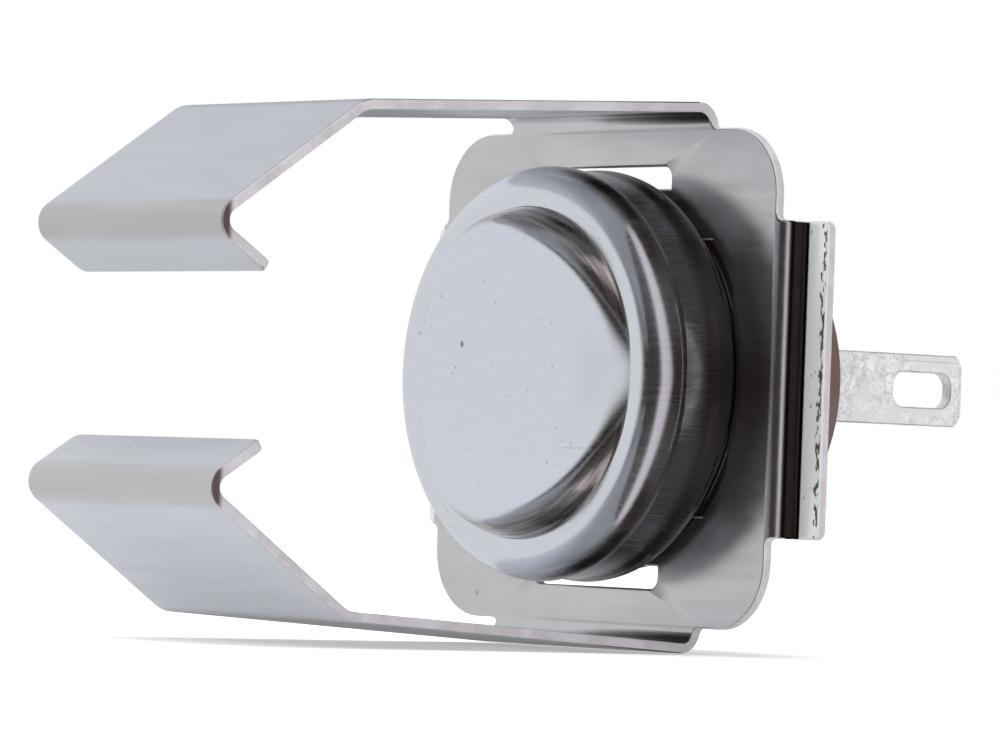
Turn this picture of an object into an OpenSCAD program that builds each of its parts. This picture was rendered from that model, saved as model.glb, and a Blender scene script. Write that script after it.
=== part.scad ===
// Clip-on pipe thermistor. A drawn metal cap holds the sensing element. A folded spring clip
// grips the cap and snaps over a pipe, and two push-on tabs stand on the brown base behind.
//
// The cap's axis is Y. The sensing face lies at Y = 0 and looks along -Y, Z is up, and the
// pipe lies along X. Lengths are millimetres.
//
// Inside the modules x is across, y is up and z is forward, with z = 0 on the front of the
// clip's plate. placed() turns that into the part's own frame.

/* [Spring clip] */
// Thickness of the clip's sheet
clip_sheet = 0.4; // [0.3:0.05:0.5]
// How far the plate reaches past the cap at each side
plate_past_side = 1.76; // [1.6:0.02:4]
// How far the plate reaches past the cap above and below
plate_past_top = 1.54; // [1.3:0.05:3]
// Radius of the plate's four corners
plate_corner = 2.6; // [1:0.1:2.8]
// Radius in the inside corners where legs and flanges leave the plate
root_fillet = 0.25; // [0.1:0.05:0.45]

/* [Legs of the clip] */
// Half width of a leg at its root
leg_half_w = 5.9; // [5:0.1:6.6]
// How much narrower each side of a leg is at its elbow
leg_taper = 0.24; // [0:0.02:1]
// Bend radius at the leg's root, to the middle of the sheet
root_bend = 0.76; // [0.5:0.02:1]
// Angle by which the leg leans in
leg_lean = 3.3; // [0:0.1:6]
// Straight length of the leg from root bend to elbow
leg_len = 15.7; // [12:0.1:20]
// Bend radius of the elbow, to the middle of the sheet
elbow_bend = 1.2; // [0.6:0.1:2]
// Angle of the slanted part to the cap's axis
slant_angle = 34; // [25:1:40]
// Straight length of the slanted part
slant_len = 6.9; // [5:0.05:7.5]
// Bend radius of the folded tip, to the middle of the sheet
tip_bend = 0.62; // [0.45:0.01:0.9]
// Angle of the lead-in tail to the cap's axis
tail_angle = 32; // [25:1:45]
// Straight length of the lead-in tail
tail_len = 2.1; // [1:0.05:2.5]
// Corner radius at the tail's end
tail_corner = 0.35; // [0.1:0.05:0.6]

/* [Side flanges of the clip] */
// Half length of a flange
flange_half_len = 6; // [4:0.1:6.2]
// Bend radius of the flange, to the middle of the sheet
flange_bend = 0.35; // [0.3:0.05:0.5]
// Straight depth of the flange's wall
flange_wall = 0.35; // [0.1:0.05:1.5]
// Width of the flat lip
lip_w = 1.1; // [0.8:0.05:2.5]
// Corner radius of the lip
lip_corner = 0.35; // [0.1:0.05:0.6]

/* [Hole in the clip] */
// Gap between the cap's groove and the clip's four tongues
tongue_gap = 0.08; // [0.04:0.01:0.15]
// Gap between the cap's rim and the wide arcs of the hole
side_gap = 0.31; // [0.2:0.01:0.5]
// Half the angle that each wide arc covers, to the middle of its slanted end
side_arc = 43.5; // [35:0.5:45]
// Angle that each slanted end takes up
side_slant = 6; // [0:0.5:8]
// Gap between the cap's groove and the flat sides of the hole
flat_gap = 0.18; // [0.12:0.01:0.4]
// Half width of the windows above and below the cap
window_half_w = 3.65; // [3:0.05:4.2]
// How far each window reaches past the cap
window_past = 0.12; // [0.05:0.01:0.6]
// Height of a window beside its middle, where the tongues reach under it
window_h = 0.87; // [0.6:0.01:1.2]
// Half width over which a window is open to the cap
window_open = 2.2; // [1.6:0.1:2.8]
// Radius of a window's outer corners
window_corner = 0.45; // [0.2:0.05:0.5]

/* [Sensing cap] */
// Radius of the cap over its shoulder
cap_r = 8; // [8:0.1:9]
// Height of the sensing face above the clip's plate, at the bottom of its saddle
cap_h = 4.3; // [4.2:0.1:6]
// Thickness of the cap's sheet
cap_sheet = 0.3; // [0.2:0.05:0.35]
// Radius of the raised pad at its foot
pad_r = 6.4; // [6:0.05:6.5]
// Height of the pad above the ring round it, at the bottom of its saddle
pad_rise = 0.25; // [0.1:0.05:0.35]
// Angle between the pad's side and the ring
pad_angle = 60; // [50:1:70]
// Radius of the saddle across the pad, which the pipe lies in
saddle_r = 11.5; // [9:0.5:20]
// Half width of the flat land along the bottom of the saddle
land_half_w = 0.8; // [0.4:0.1:1.5]
// Outer radius of the shoulder between the ring and the side wall
shoulder = 1.15; // [0.8:0.05:1.2]
// How far the side wall stands in from the shoulder
wall_in = 0.13; // [0.05:0.01:0.18]
// Height of the rear band's upper edge above the plate
band_h = 1.4; // [1.2:0.05:1.6]
// How far the rear band stands out from the wall
band_out = 0.1; // [0.04:0.01:0.14]
// Depth of the groove that the clip's tongues sit in
groove_depth = 0.78; // [0.6:0.02:0.8]
// How far the bead behind the clip stands out of the groove
bead_out = 0.23; // [0.17:0.01:0.3]
// How far the skirt stands in from the bead
skirt_in = 0.27; // [0.23:0.01:0.4]
// Distance from the plate's front to the start of the crimp
skirt_back = 3.4; // [2.8:0.1:4.2]
// Width of the crimped lip that holds the base
crimp_lip = 0.34; // [0.2:0.02:0.36]

/* [Base] */
// Gap between base and skirt
base_gap = 0.06; // [0.02:0.01:0.1]
// How far the base steps in behind the crimped lip
base_step = 0.46; // [0.4:0.02:0.6]
// Distance from the plate's front to the back of the base
base_back = 6.9; // [5.8:0.1:8]
// Wall thickness of the base round its hollow
base_wall = 1.3; // [0.8:0.1:1.6]
// Thickness of the base's floor under the tabs' feet
base_floor = 1.9; // [1.2:0.1:2]
// Depth of the pockets that the tabs' feet sit in
foot_pocket = 0.3; // [0.1:0.05:0.4]
// Gap round a foot in its pocket
foot_gap = 0.05; // [0.03:0.01:0.1]
// Chamfer on the base's back edge
base_chamfer = 0.2; // [0.1:0.05:0.5]

/* [Tabs] */
// Width of a tab
tab_w = 2.8; // [2:0.1:3.2]
// Thickness of a tab
tab_sheet = 0.5; // [0.4:0.05:0.8]
// Distance of each tab from the cap's axis
tab_x = 5; // [4.8:0.05:5.2]
// Distance from the plate's front to the tabs' ends
tab_back = 14.35; // [12:0.1:16]
// Bend radius of a tab, to the middle of its sheet
tab_bend = 0.55; // [0.45:0.05:0.8]
// Width of the slot in a tab
slot_w = 1.37; // [1:0.01:1.6]
// Length of the slot in a tab
slot_len = 3.1; // [2:0.05:3.2]
// Distance from the slot to the tab's end
slot_end = 0.7; // [0.5:0.05:1.2]
// Corner cut at the tab's end
tab_corner = 0.45; // [0.2:0.05:0.6]
// How much each face of a tab is bevelled at its tip
tip_bevel = 0.12; // [0.05:0.01:0.15]
// Length of the bevel at a tab's tip
tip_len = 0.3; // [0.1:0.05:0.4]

/* [Rivets and straps] */
// Distance of each rivet from the cap's axis
rivet_x = 2.9; // [2.7:0.05:3]
// Radius of a rivet's shank
rivet_r = 0.75; // [0.5:0.05:0.85]
// Gap between a shank and its holes
rivet_gap = 0.03; // [0.02:0.01:0.08]
// Radius of a rivet's heads
rivet_head_r = 1.25; // [1.1:0.05:1.35]
// Thickness of the contact straps inside
strap_sheet = 0.3; // [0.2:0.05:0.4]
// Width of the contact straps
strap_w = 2.2; // [1.8:0.1:3]

/* [Sensing element] */
// Radius of the ceramic chip
chip_r = 0.9; // [0.6:0.05:1]
// Thickness of the ceramic chip
chip_t = 0.5; // [0.4:0.05:0.7]
// Radius of the resin coat round the chip
coat_r = 1.45; // [1.35:0.05:1.8]
// Radius of a lead wire
wire_r = 0.15; // [0.1:0.01:0.18]
// Wall thickness of a wire's sleeve
sleeve_wall = 0.2; // [0.1:0.01:0.22]
// Thickness of the insulating film
film_t = 0.1; // [0.05:0.01:0.2]
// How far the thermal paste stays inside the pad's foot
paste_in = 1.2; // [1.1:0.05:2]

/* [Hidden] */
$fn = 96;
// Play between faces that lie on each other
seat = 0.02;
// A cutter reaches this far past what it cuts
past = 1;

// The ring round the pad, the saddle's axis, and the height of the cone that the pad is cut from
ring_z = cap_h - pad_rise;
saddle_z = cap_h + sqrt(pow(saddle_r, 2) - pow(land_half_w, 2));
cone_h = 2.2;

// The side wall of the cap, and the run of the bends above and below it
crease_run = 0.4;
band_run = 0.3;
wall_len = ring_z - shoulder - crease_run - band_h;

// The rear band narrows a little, turns in to the rim and goes down into the groove
band_lean = 12;
band_bend = 0.5;
rim_bend = 0.2;
band_len = (band_h - band_run - band_bend * sin(band_lean) - rim_bend * (1 - sin(band_lean))
    - seat - cap_sheet / 2) / cos(band_lean);
rim_r = cap_r - wall_in + band_out - band_bend * (1 - cos(band_lean)) - band_len * sin(band_lean);
groove_r = cap_r - groove_depth;
rim_in = rim_r - rim_bend * cos(band_lean) - groove_r - rim_bend;
groove_len = clip_sheet + 2 * seat + cap_sheet / 2 - rim_bend;

// Behind the clip: bead, skirt and crimp
bead_run = 0.4;
bead_len = 0.43;
bead_r = groove_r + bead_out;
skirt_run = 0.85;
skirt_r = bead_r - skirt_in;
skirt_len = skirt_back - clip_sheet - seat - bead_run - bead_len - skirt_run;
crimp_bend = 0.25;
crimp_z = -skirt_back - crimp_bend + cap_sheet / 2;

// The clip's plate, legs and flanges
plate_half_w = cap_r + plate_past_side;
plate_half_h = cap_r + plate_past_top;
flange_reach = plate_half_w + 2 * flange_bend + lip_w;
tongue_r = groove_r + tongue_gap;
side_r = rim_r + side_gap;
flat_half_w = groove_r + flat_gap;
window_half_h = cap_r + window_past;
window_floor = window_half_h - window_h;
leg_z = root_bend - clip_sheet / 2;
leg_y = plate_half_h + root_bend;
leg_steps = [[root_bend, leg_lean], [leg_len, 0], [elbow_bend, slant_angle - leg_lean],
    [slant_len, 0], [tip_bend, 180 - slant_angle - tail_angle], [tail_len, 0]];
flange_steps = [[flange_bend, 90], [flange_wall, 0], [flange_bend, -90], [lip_w, 0]];
leg_reach = leg_z + leg_len + slant_len + 2 * (elbow_bend + tip_bend);

// The base, from the film that it presses on the cap to its back
film_z = ring_z - cap_sheet;
base_top = film_z - film_t;
base_r = skirt_r - cap_sheet - base_gap;
hollow_r = base_r - base_wall;
crimp_ease = 0.15;
film_r = cap_r - shoulder - 0.1;
pocket_z = foot_pocket - base_back;
floor_z = pocket_z + base_floor;

// Tabs, rivets and straps
tab_len = tab_back + pocket_z - tab_sheet / 2 - tab_bend;
foot_in = rivet_x - tab_w / 2;
foot_len = tab_x - tab_bend - foot_in;
head_rim = 0.15;
head_dome = 0.4;
dome_r = (pow(rivet_head_r, 2) + pow(head_dome, 2)) / (2 * head_dome);
inner_head = 0.3;
strap_bend = 0.3;
strap_out = rivet_x + strap_w / 2;
lug_len = 1.4;

// The chip stands behind the film, with a wire on each of its faces
chip_z = base_top - coat_r + 0.25;
wire_x = chip_t / 2 + wire_r;
wire_top = chip_z + chip_r * 0.6;
lug_x = wire_x + wire_r + strap_sheet / 2;
sleeve_top = chip_z - coat_r - seat;
sleeve_len = 2.4;
wire_end = floor_z + strap_sheet + 0.2;

clip_colour = [0.76, 0.76, 0.76];
cap_colour = [0.82, 0.84, 0.86];
base_colour = [0.36, 0.25, 0.22];
tab_colour = [0.80, 0.80, 0.80];
rivet_colour = [0.74, 0.70, 0.62];
strap_colour = [0.78, 0.62, 0.36];
wire_colour = [0.80, 0.78, 0.74];
sleeve_colour = [0.92, 0.92, 0.88];
chip_colour = [0.30, 0.30, 0.31];
coat_colour = [0.20, 0.20, 0.22];
film_colour = [0.80, 0.52, 0.16];
paste_colour = [0.93, 0.93, 0.92];

// Two equal and opposite bends that shift a sheet sideways, to the right where out is positive
function shift(out, run) =
    let (turn = 2 * atan(out / run), r = run / (2 * sin(abs(turn)))) [[r, turn], [r, -turn]];

// Moves children from one end of a bend to the other
module after_bend(r, turn)
{
    translate([r * sin(abs(turn)), -sign(turn) * r * (1 - cos(turn))]) rotate(-turn) children();
}

// A flat sector of a ring, for a bend that starts at the origin and heads along x
module bend_2d(r, turn, sheet)
{
    far = 2 * (r + sheet);
    mirror([0, turn < 0 ? 1 : 0]) translate([0, -r]) intersection() {
        difference() {
            circle(r + sheet / 2);
            circle(r - sheet / 2);
        }
        half = abs(turn) / 2;
        polygon(concat([[0, 0]], [for (i = [0:2]) far * [sin(i * half), cos(i * half)]]));
    }
}

// A sheet seen on its edge. Each step is [length, 0], or [bend radius, turn to the right]
module strip(steps, sheet, i = 0)
{
    if (i < len(steps)) {
        if (steps[i][1] == 0) {
            translate([0, -sheet / 2]) square([steps[i][0], sheet]);
            translate([steps[i][0], 0]) strip(steps, sheet, i + 1);
        } else {
            bend_2d(steps[i][0], steps[i][1], sheet);
            after_bend(steps[i][0], steps[i][1]) strip(steps, sheet, i + 1);
        }
    }
}

// Places children at the end of the same steps
module strip_end(steps, i = 0)
{
    if (i == len(steps)) children();
    else if (steps[i][1] == 0) translate([steps[i][0], 0]) strip_end(steps, i + 1) children();
    else after_bend(steps[i][0], steps[i][1]) strip_end(steps, i + 1) children();
}

// The middle line of a sheet along such steps, as [x, y, heading], with bends in short pieces
function middle(steps, x = 0, y = 0, a = 0, i = 0) =
    i == len(steps) ? [[x, y, a]] :
    steps[i][1] == 0 ? concat([[x, y, a]],
        middle(steps, x + steps[i][0] * cos(a), y + steps[i][0] * sin(a), a, i + 1)) :
    let (turn = steps[i][1], r = sign(turn) * steps[i][0], n = ceil(abs(turn) / 12),
        x0 = x + r * sin(a), y0 = y - r * cos(a))
    concat([for (j = [0:n - 1]) let (b = a - turn * j / n) [x0 - r * sin(b), y0 + r * cos(b), b]],
        middle(steps, x0 - r * sin(a - turn), y0 + r * cos(a - turn), a - turn, i + 1));

// The outline of a sheet of this thickness round such a middle line
function outline(line, sheet) = concat(
    [for (p = line) [p[0] - sheet / 2 * sin(p[2]), p[1] + sheet / 2 * cos(p[2])]],
    [for (i = [len(line) - 1:-1:0]) let (p = line[i])
        [p[0] + sheet / 2 * sin(p[2]), p[1] - sheet / 2 * cos(p[2])]]);

// From the modelling frame to the part's frame
module placed()
{
    rotate([90, 0, 0]) translate([0, 0, -cap_h]) children();
}

// Extrudes a section in forward and up, across the part
module across(w)
{
    rotate([0, -90, 0]) linear_extrude(w, center = true) children();
}

// Extrudes a section in across and forward, upwards
module upwards(h)
{
    rotate([90, 0, 0]) linear_extrude(h, center = true) children();
}

// A rectangle about the origin with round corners
module rounded(half_w, half_h, r)
{
    square([2 * half_w, 2 * (half_h - r)], center = true);
    square([2 * (half_w - r), 2 * half_h], center = true);
    for (x = [-1, 1], y = [-1, 1]) translate([x * (half_w - r), y * (half_h - r)]) circle(r);
}

// The web that rounds an inside corner at the origin, between +x and +y
module web(r)
{
    difference() {
        square(r);
        translate([r, r]) circle(r);
    }
}

// The clip seen from the front, before its bends hide any of it
module clip_outline()
{
    rounded(plate_half_w, plate_half_h, plate_corner);
    square([2 * leg_half_w, 2 * (plate_half_h + root_bend + clip_sheet)], center = true);
    rounded(flange_reach, flange_half_len, lip_corner);
    for (x = [0, 1], y = [0, 1]) mirror([x, 0]) mirror([0, y]) {
        translate([leg_half_w, plate_half_h]) web(root_fillet);
        translate([plate_half_w, flange_half_len]) web(root_fillet);
    }
}

// The hole: four tongues that grip the groove, wide arcs with a flat at each side, and two windows
module clip_hole()
{
    inner = side_arc + side_slant / 2;
    outer = side_arc - side_slant / 2;
    circle(tongue_r);
    intersection() {
        circle(side_r);
        square([2 * flat_half_w, 2 * side_r], center = true);
        for (x = [0, 1]) mirror([x, 0])
            polygon([[0, 0], tongue_r * [cos(inner), sin(inner)], side_r * [cos(outer), sin(outer)],
                [2 * side_r, side_r * sin(outer)], [2 * side_r, -side_r * sin(outer)],
                side_r * [cos(outer), -sin(outer)], tongue_r * [cos(inner), -sin(inner)]]);
    }
    difference() {
        rounded(window_half_w, window_half_h, window_corner);
        square([2 * (window_half_w + past), 2 * window_floor], center = true);
    }
    square([2 * window_open, 2 * (window_half_h - window_corner)], center = true);
}

module leg()
{
    start = [leg_z, leg_y];
    // The root bend, trimmed to the outline
    intersection() {
        across(2 * (leg_half_w + root_fillet))
            translate([-clip_sheet / 2, plate_half_h]) rotate(90) strip([[root_bend, 90]], clip_sheet);
        translate([0, 0, -clip_sheet - past]) linear_extrude(leg_z + clip_sheet + 2 * past) clip_outline();
    }
    // The leg, the slanted part, the folded tip and the tail, narrowing to the elbow
    difference() {
        intersection() {
            across(2 * leg_half_w) translate(start) strip(leg_steps, clip_sheet);
            upwards(4 * leg_y) polygon([[-leg_half_w, leg_z], [leg_half_w, leg_z],
                [leg_half_w - leg_taper, leg_z + leg_len], [leg_half_w - leg_taper, leg_reach],
                [leg_taper - leg_half_w, leg_reach], [leg_taper - leg_half_w, leg_z + leg_len]]);
        }
        tail_corners();
    }
}

// Cutters that round the two corners of the tail's end
module tail_corners()
{
    half_w = leg_half_w - leg_taper;
    for (side = [0, 1]) mirror([side, 0, 0]) rotate([0, -90, 0]) translate([leg_z, leg_y, 0])
        strip_end(leg_steps) rotate([-90, 0, 0]) translate([-tail_corner, half_w - tail_corner, -past / 2])
            linear_extrude(past) difference() {
                square(tail_corner + past);
                circle(tail_corner);
            }
}

module flange()
{
    intersection() {
        upwards(2 * (flange_half_len + root_fillet))
            translate([plate_half_w, -clip_sheet / 2]) strip(flange_steps, clip_sheet);
        depth = flange_wall + 2 * flange_bend + clip_sheet + past;
        translate([0, 0, -depth]) linear_extrude(depth + past) clip_outline();
    }
}

module spring_clip()
{
    color(clip_colour) placed() {
        translate([0, 0, -clip_sheet]) linear_extrude(clip_sheet) difference() {
            rounded(plate_half_w, plate_half_h, plate_corner);
            clip_hole();
        }
        for (y = [0, 1]) mirror([0, y, 0]) leg();
        for (x = [0, 1]) mirror([x, 0, 0]) flange();
    }
}

// The space that the saddle leaves for the pipe, grown by a wall
module saddle(wall)
{
    intersection() {
        translate([0, 0, saddle_z]) rotate([0, 90, 0])
            cylinder(r = saddle_r + wall, h = 4 * pad_r, center = true);
        translate([-2 * pad_r, -2 * pad_r, cap_h - wall]) cube([4 * pad_r, 4 * pad_r, 2 * pad_r]);
    }
}

// The pad inside a wall: a cone less its saddle, with a plug behind its foot
module pad(wall, foot_z, plug)
{
    cone_r = pad_r - wall / sin(pad_angle);
    foot_r = cone_r - (foot_z - ring_z) / tan(pad_angle);
    difference() {
        rotate_extrude() polygon([[0, foot_z - plug], [foot_r, foot_z - plug], [foot_r, foot_z],
            [cone_r - cone_h / tan(pad_angle), ring_z + cone_h], [0, ring_z + cone_h]]);
        saddle(wall);
    }
}

// One sheet, from the pad to the crimped lip
module sensing_cap()
{
    steps = concat(
        [[cap_r - shoulder, 0], [shoulder - cap_sheet / 2, 90]],
        shift(wall_in, crease_run), [[wall_len, 0]], shift(-band_out, band_run),
        [[band_bend, band_lean], [band_len, 0], [rim_bend, 90 - band_lean], [rim_in, 0]],
        [[rim_bend, -90], [groove_len, 0]], shift(-bead_out, bead_run), [[bead_len, 0]],
        shift(skirt_in, skirt_run), [[skirt_len, 0], [crimp_bend, 90], [crimp_lip, 0]]);
    color(cap_colour) placed() difference() {
        union() {
            rotate_extrude() translate([0, ring_z - cap_sheet / 2])
                polygon(outline(middle(steps), cap_sheet));
            pad(0, ring_z, cap_sheet / 2);
        }
        pad(cap_sheet, ring_z - cap_sheet, past);
    }
}

// The outline of a tab's foot, seen from behind
module foot_outline(gap)
{
    translate([rivet_x, 0]) circle(tab_w / 2 + gap);
    translate([rivet_x, -tab_w / 2 - gap]) square([tab_x - rivet_x + tab_sheet / 2 + gap, tab_w + 2 * gap]);
}

module terminal_base()
{
    back_r = base_r - base_step;
    color(base_colour) placed() difference() {
        rotate_extrude() polygon([[0, floor_z], [hollow_r, floor_z], [hollow_r, base_top],
            [base_r, base_top], [base_r, crimp_z + crimp_ease], [base_r - crimp_ease, crimp_z],
            [back_r, crimp_z], [back_r, base_chamfer - base_back], [back_r - base_chamfer, -base_back],
            [0, -base_back]]);
        for (x = [0, 1]) mirror([x, 0, 0]) {
            translate([0, 0, -base_back - past]) linear_extrude(foot_pocket + past) foot_outline(foot_gap);
            translate([rivet_x, 0, -base_back]) cylinder(r = rivet_r + rivet_gap, h = base_back);
        }
    }
}

// The slot through a tab, with round corners
module slot_outline()
{
    corner = slot_w * 0.42;
    translate([-tab_back + slot_end + slot_len / 2, 0]) rounded(slot_len / 2, slot_w / 2, corner);
}

module tab()
{
    color(tab_colour) placed() difference() {
        intersection() {
            upwards(tab_w) translate([foot_in, pocket_z - tab_sheet / 2])
                strip([[foot_len, 0], [tab_bend, 90], [tab_len, 0]], tab_sheet);
            translate([0, 0, -tab_back - past]) linear_extrude(tab_back) foot_outline(0);
        }
        translate([tab_x, 0, 0]) across(2 * tab_sheet) slot_outline();
        for (y = [0, 1]) mirror([0, y, 0]) translate([tab_x, 0, 0]) across(2 * tab_sheet)
            translate([-tab_back, tab_w / 2]) polygon([[-past, -tab_corner - past],
                [tab_corner + past, past], [-past, past]]);
        translate([tab_x, 0, 0]) for (x = [0, 1]) mirror([x, 0, 0]) upwards(tab_w + past)
            polygon([[tab_sheet / 2 - tip_bevel, -tab_back - past], [tab_sheet / 2 - tip_bevel, -tab_back],
                [tab_sheet / 2, tip_len - tab_back], [tab_sheet / 2 + past, tip_len - tab_back],
                [tab_sheet / 2 + past, -tab_back - past]]);
        translate([rivet_x, 0, -tab_back]) cylinder(r = rivet_r + rivet_gap, h = tab_back);
    }
}

module rivet()
{
    outer_z = pocket_z - tab_sheet;
    inner_z = floor_z + strap_sheet;
    color(rivet_colour) placed() translate([rivet_x, 0, 0]) {
        translate([0, 0, outer_z]) cylinder(r = rivet_r, h = inner_z - outer_z);
        translate([0, 0, outer_z - head_rim]) cylinder(r = rivet_head_r, h = head_rim);
        translate([0, 0, outer_z - head_rim]) rotate_extrude() intersection() {
            translate([0, dome_r - head_dome]) circle(dome_r);
            translate([0, -head_dome]) square([rivet_head_r, head_dome]);
        }
        translate([0, 0, inner_z])
            cylinder(r1 = rivet_head_r, r2 = rivet_head_r - inner_head / 2, h = inner_head);
    }
}

// Under the rivet's inner head, then forward as a lug for the wire
module contact_strap()
{
    color(strap_colour) placed() difference() {
        upwards(strap_w) translate([strap_out, floor_z + strap_sheet / 2]) rotate(180)
            strip([[strap_out - lug_x - strap_bend, 0], [strap_bend, 90], [lug_len, 0]], strap_sheet);
        translate([rivet_x, 0, floor_z - past])
            cylinder(r = rivet_r + rivet_gap, h = strap_sheet + 2 * past);
    }
}

// From the chip's face straight back through the sleeve to the strap's lug
module lead_wire()
{
    color(wire_colour) placed() translate([wire_x, 0, wire_end])
        cylinder(r = wire_r, h = wire_top - wire_end);
}

module wire_sleeve()
{
    color(sleeve_colour) placed() translate([wire_x, 0, sleeve_top - sleeve_len]) difference() {
        cylinder(r = wire_r + sleeve_wall, h = sleeve_len);
        translate([0, 0, -past]) cylinder(r = wire_r + seat, h = sleeve_len + 2 * past);
    }
}

module chip_body()
{
    translate([0, 0, chip_z]) rotate([0, 90, 0]) cylinder(r = chip_r, h = chip_t, center = true);
}

module thermistor_chip()
{
    color(chip_colour) placed() chip_body();
}

// A bead of resin, flat where it lies on the film
module resin_coat()
{
    color(coat_colour) placed() difference() {
        translate([0, 0, chip_z]) rotate_extrude() intersection() {
            circle(coat_r);
            translate([0, -coat_r]) square([coat_r, coat_r + base_top - chip_z]);
        }
        chip_body();
        for (x = [-1, 1]) translate([x * wire_x, 0, chip_z - coat_r - past])
            cylinder(r = wire_r, h = wire_top - chip_z + coat_r + past);
    }
}

module insulating_film()
{
    color(film_colour) placed() translate([0, 0, base_top]) cylinder(r = film_r, h = film_t);
}

module thermal_paste()
{
    color(paste_colour) placed() difference() {
        translate([0, 0, film_z]) cylinder(r = pad_r - paste_in, h = cone_h);
        saddle(cap_sheet + seat);
    }
}

// The left and right pieces are alike, and lie on either side of X = 0
module left()
{
    mirror([1, 0, 0]) children();
}

spring_clip();
sensing_cap();
terminal_base();
left() tab();  // left_tab
tab();  // right_tab
left() rivet();  // left_rivet
rivet();  // right_rivet
left() contact_strap();  // left_contact_strap
contact_strap();  // right_contact_strap
left() lead_wire();  // left_lead_wire
lead_wire();  // right_lead_wire
left() wire_sleeve();  // left_wire_sleeve
wire_sleeve();  // right_wire_sleeve
thermistor_chip();
resin_coat();
insulating_film();
thermal_paste();
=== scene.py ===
# %% [markdown]
# # A clip-on pipe thermistor
#
# Such a sensor snaps over a boiler's pipe and reads how warm it is. The packed CAD part is the
# fixed frame, and this scene dresses it: the spring clip, the base and the tabs get soft edges,
# the drawn cap is turned again with a finer section, and every piece gets a procedural material.
# Lengths are in metres, and the sensing face looks along -Y.

# %% imports
import math

import bmesh
import bpy
from mathutils import Matrix, Vector
from mathutils.bvhtree import BVHTree


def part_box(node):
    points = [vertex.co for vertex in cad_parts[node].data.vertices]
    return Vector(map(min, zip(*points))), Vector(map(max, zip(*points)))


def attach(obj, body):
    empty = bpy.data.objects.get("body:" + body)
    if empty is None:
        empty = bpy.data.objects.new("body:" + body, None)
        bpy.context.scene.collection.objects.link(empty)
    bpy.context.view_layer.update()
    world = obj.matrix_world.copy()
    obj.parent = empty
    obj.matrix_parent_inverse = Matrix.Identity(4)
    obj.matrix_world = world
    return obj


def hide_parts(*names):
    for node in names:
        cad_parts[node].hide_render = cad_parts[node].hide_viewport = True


MM = 0.001
print("Blender", bpy.app.version_string)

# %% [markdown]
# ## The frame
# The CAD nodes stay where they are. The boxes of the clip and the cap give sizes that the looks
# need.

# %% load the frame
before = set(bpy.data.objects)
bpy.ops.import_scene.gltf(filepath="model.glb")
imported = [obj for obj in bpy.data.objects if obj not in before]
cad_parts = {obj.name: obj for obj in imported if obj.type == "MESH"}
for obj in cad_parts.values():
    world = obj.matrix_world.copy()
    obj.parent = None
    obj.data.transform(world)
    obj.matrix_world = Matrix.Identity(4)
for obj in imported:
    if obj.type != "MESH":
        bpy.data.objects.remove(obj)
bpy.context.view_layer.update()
clip_low, clip_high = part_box("spring_clip")
CAP_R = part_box("sensing_cap")[1].x
print("frame:", len(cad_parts), "nodes, cap radius", round(CAP_R / MM, 2), "mm")

# %% [markdown]
# ## The camera
# It stands in front of the cap, to the right and a little below its axis, and leans by two
# degrees. The lens is long, so the part hardly narrows with distance. Aiming by a direction is
# easier to correct than three turns about the axes, so the place and the aim are two points.

# %% camera
CAMERA_PLACE = Vector((195.8, -163.7, -4.8)) * MM
CAMERA_AIM = Vector((-2.52, 1.27, -0.08)) * MM
CAMERA_ROLL = math.radians(2.1)
LENS = 239.6
SENSOR = 36.0
SEEN_FROM, SEEN_TO = 0.01, 10.0


def add_camera():
    data = bpy.data.cameras.new("camera")
    data.lens = LENS
    data.sensor_width = SENSOR
    data.clip_start = SEEN_FROM
    data.clip_end = SEEN_TO
    camera = bpy.data.objects.new("camera", data)
    bpy.context.scene.collection.objects.link(camera)
    aimed = (CAMERA_AIM - CAMERA_PLACE).to_track_quat("-Z", "Y").to_matrix().to_4x4()
    rolled = Matrix.Rotation(CAMERA_ROLL, 4, "Z")
    camera.matrix_world = Matrix.Translation(CAMERA_PLACE) @ aimed @ rolled
    bpy.context.scene.camera = camera


add_camera()
print("camera stands", round((CAMERA_AIM - CAMERA_PLACE).length, 3), "m away")

# %% [markdown]
# ## Node helpers
# Materials here are node trees written as code. They could be clicked together in the shader
# editor, but written down they can be read and corrected. A few small functions keep that short:
# one adds a node and fills its inputs, and the others name what a common node does. A mask is a
# number from zero to one that says how far a place belongs to a zone, so masks are multiplied
# where both have to hold.


# %% add a node
def add_node(tree, kind, settings=None, inputs=None):
    """Adds a node, sets its properties, and sets or links its inputs."""
    made = tree.nodes.new(kind)
    for name, value in (settings or {}).items():
        setattr(made, name, value)
    for name, value in (inputs or {}).items():
        socket = made.inputs[name]
        if isinstance(value, bpy.types.NodeSocket):
            tree.links.new(value, socket)
        else:
            socket.default_value = value
    return made


def math_node(tree, operation, first, second=0.0):
    settings = {"operation": operation}
    return add_node(tree, "ShaderNodeMath", settings, {0: first, 1: second}).outputs[0]


print("add_node:", add_node.__doc__)


# %% sums and products
def product(tree, first, *others):
    """Multiplies masks and numbers."""
    for other in others:
        first = math_node(tree, "MULTIPLY", first, other)
    return first


def total(tree, first, second):
    return math_node(tree, "ADD", first, second)


def difference(tree, first, second):
    return math_node(tree, "SUBTRACT", first, second)


def size_of(tree, value):
    """The value without its sign."""
    return math_node(tree, "ABSOLUTE", value)


def stronger(tree, first, *others):
    """The largest of several masks."""
    for other in others:
        first = math_node(tree, "MAXIMUM", first, other)
    return first


print("product and stronger: how masks meet")


# %% steps
def smooth_step(tree, value, start, end, low=0.0, high=1.0):
    """Goes softly from low to high as the value goes from start to end."""
    settings = {"interpolation_type": "SMOOTHSTEP"}
    inputs = {"Value": value, "From Min": start, "From Max": end, "To Min": low, "To Max": high}
    return add_node(tree, "ShaderNodeMapRange", settings, inputs).outputs[0]


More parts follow.
